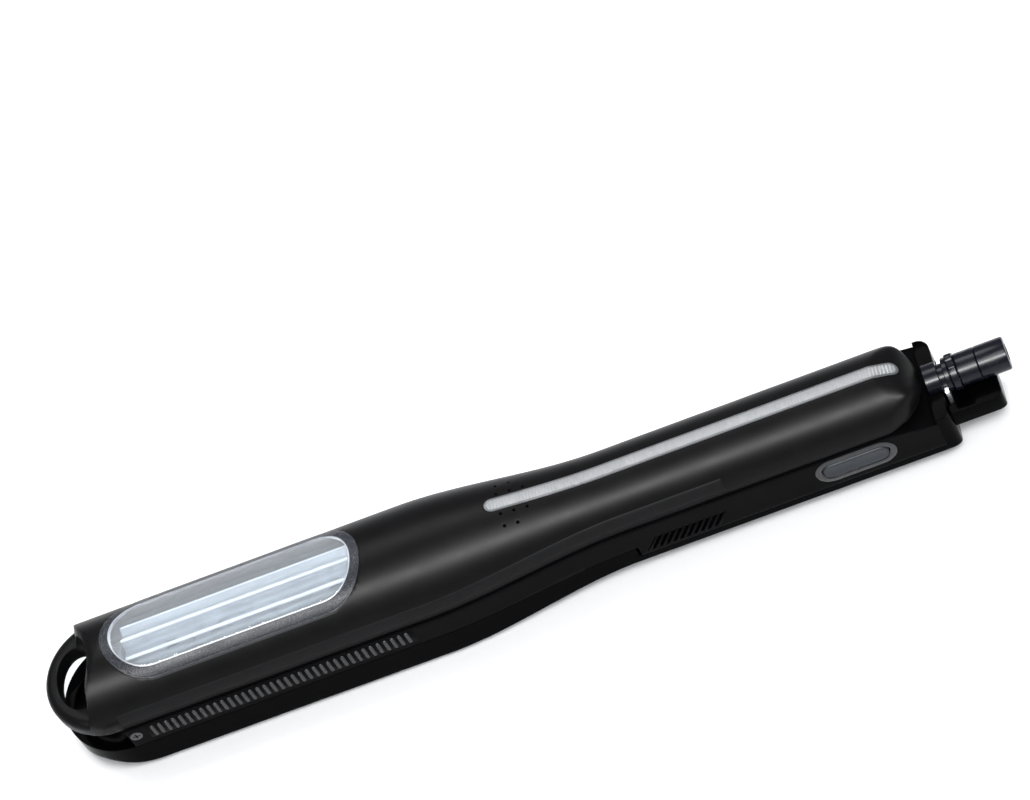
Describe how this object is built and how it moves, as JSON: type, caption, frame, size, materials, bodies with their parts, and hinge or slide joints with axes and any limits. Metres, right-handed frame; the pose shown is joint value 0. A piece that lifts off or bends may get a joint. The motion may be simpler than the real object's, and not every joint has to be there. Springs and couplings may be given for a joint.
{
  "type": "hair crimper",
  "caption": "Two-armed hair crimping iron with a motor-driven finned drum behind a window, a floating heated plate, a side button and a swivel cord collar.",
  "frame": {"origin": "on the flat underside of the lower arm, at the middle of the whole length and width", "axes": "+X from the nose to the cord collar, +Z from the lower arm to the upper arm, the button side faces -Y"},
  "size_m": [0.34, 0.0452, 0.0453],
  "materials": {
    "shell_soft": "satin",
    "shell_gloss": "gloss",
    "cover_black": "satin",
    "rib_grey": "satin",
    "band_grey": "matte",
    "bezel_smoke": "speckled translucent",
    "clear_lens": "clear",
    "clear_ribbed": "ribbed",
    "drum_pale": "satin coating",
    "steel": "satin",
    "brass": "satin",
    "button_rubber": "matte",
    "bumper_rubber": "matte",
    "board_green": "satin",
    "part_black": "satin",
    "led_white": "satin",
    "plate_coating": "ceramic coated",
    "heat_resin": "matte",
    "gear_resin": "satin",
    "collar_gloss": "gloss"
  },
  "bodies": {
    "lower_arm": {"lower_shell": "shell_gloss", "lower_inner_cover": "cover_black", "comb_strips": "rib_grey", "side_screws": "part_black", "vent_grilles": "cover_black", "plate_carrier": "heat_resin", "plate_brackets": "steel", "plate_bumpers": "bumper_rubber", "carrier_screws": "steel", "main_board": "board_green", "board_parts": "part_black", "button_bezel": "bezel_smoke", "button_board": "board_green", "tact_switch": "part_black", "hinge_pin": "steel", "hinge_spring": "steel", "collar_fork": "steel", "deck_cover": "cover_black", "deck_screws": "steel", "float_springs": "steel"},
    "upper_arm": {"upper_shell": "shell_soft", "upper_inner_cover": "cover_black", "window_bezel": "bezel_smoke", "window_lens": "clear_lens", "light_strip": "clear_ribbed", "strip_trim": "band_grey", "light_board": "led_white", "side_bands": "band_grey", "front_bracket": "steel", "rear_bracket": "steel", "drum_bushes": "brass", "gear_plate": "steel", "motor_can": "steel", "buzzer": "part_black", "upper_screws": "steel"},
    "drum": {"crimp_drum": "drum_pale", "drum_shaft": "steel", "drum_gear": "gear_resin"},
    "layshaft": {"layshaft": "gear_resin"},
    "motor_rotor": {"motor_pinion": "brass"},
    "hot_plate": {"heat_plate": "plate_coating", "plate_heater": "heat_resin", "heater_clamp": "steel"},
    "button": {"power_button": "button_rubber"},
    "collar": {"swivel_collar": "collar_gloss", "swivel_sleeve": "collar_gloss"},
    "lock": {"lock_ring": "collar_gloss"}
  },
  "joints": [
    {"name": "arm_hinge", "type": "hinge", "parent": "lower_arm", "child": "upper_arm", "pos_m": [0.1254, 0, 0.0236], "axis": [0, 1, 0], "range_deg": [0, 16]},
    {"name": "drum_spin", "type": "hinge", "parent": "upper_arm", "child": "drum", "pos_m": [-0.137, 0, 0.0316], "axis": [1, 0, 0], "continuous": true},
    {"name": "layshaft_spin", "type": "hinge", "parent": "upper_arm", "child": "layshaft", "pos_m": [-0.137, 0.009, 0.0316], "axis": [1, 0, 0], "continuous": true},
    {"name": "motor_spin", "type": "hinge", "parent": "upper_arm", "child": "motor_rotor", "pos_m": [-0.137, 0, 0.0316], "axis": [1, 0, 0], "continuous": true},
    {"name": "plate_float", "type": "slide", "parent": "lower_arm", "child": "hot_plate", "axis": [0, 0, 1], "range_m": [-0.001, 0], "stiffness_N_per_m": 2000, "springref_m": 0.001, "deforming": ["float_springs"]},
    {"name": "button_press", "type": "slide", "parent": "lower_arm", "child": "button", "axis": [0, 1, 0], "range_m": [0, 0.0012], "stiffness_N_per_m": 600},
    {"name": "collar_swivel", "type": "hinge", "parent": "lower_arm", "child": "collar", "pos_m": [0.17, 0, 0.0228], "axis": [1, 0, 0], "continuous": true},
    {"name": "lock_turn", "type": "hinge", "parent": "lower_arm", "child": "lock", "pos_m": [0.17, 0, 0.0228], "axis": [1, 0, 0], "range_deg": [0, 90]}
  ],
  "couplings": [
    {"joint": "layshaft_spin", "follows": "drum_spin", "ratio": -2},
    {"joint": "motor_spin", "follows": "drum_spin", "ratio": 4}
  ]
}
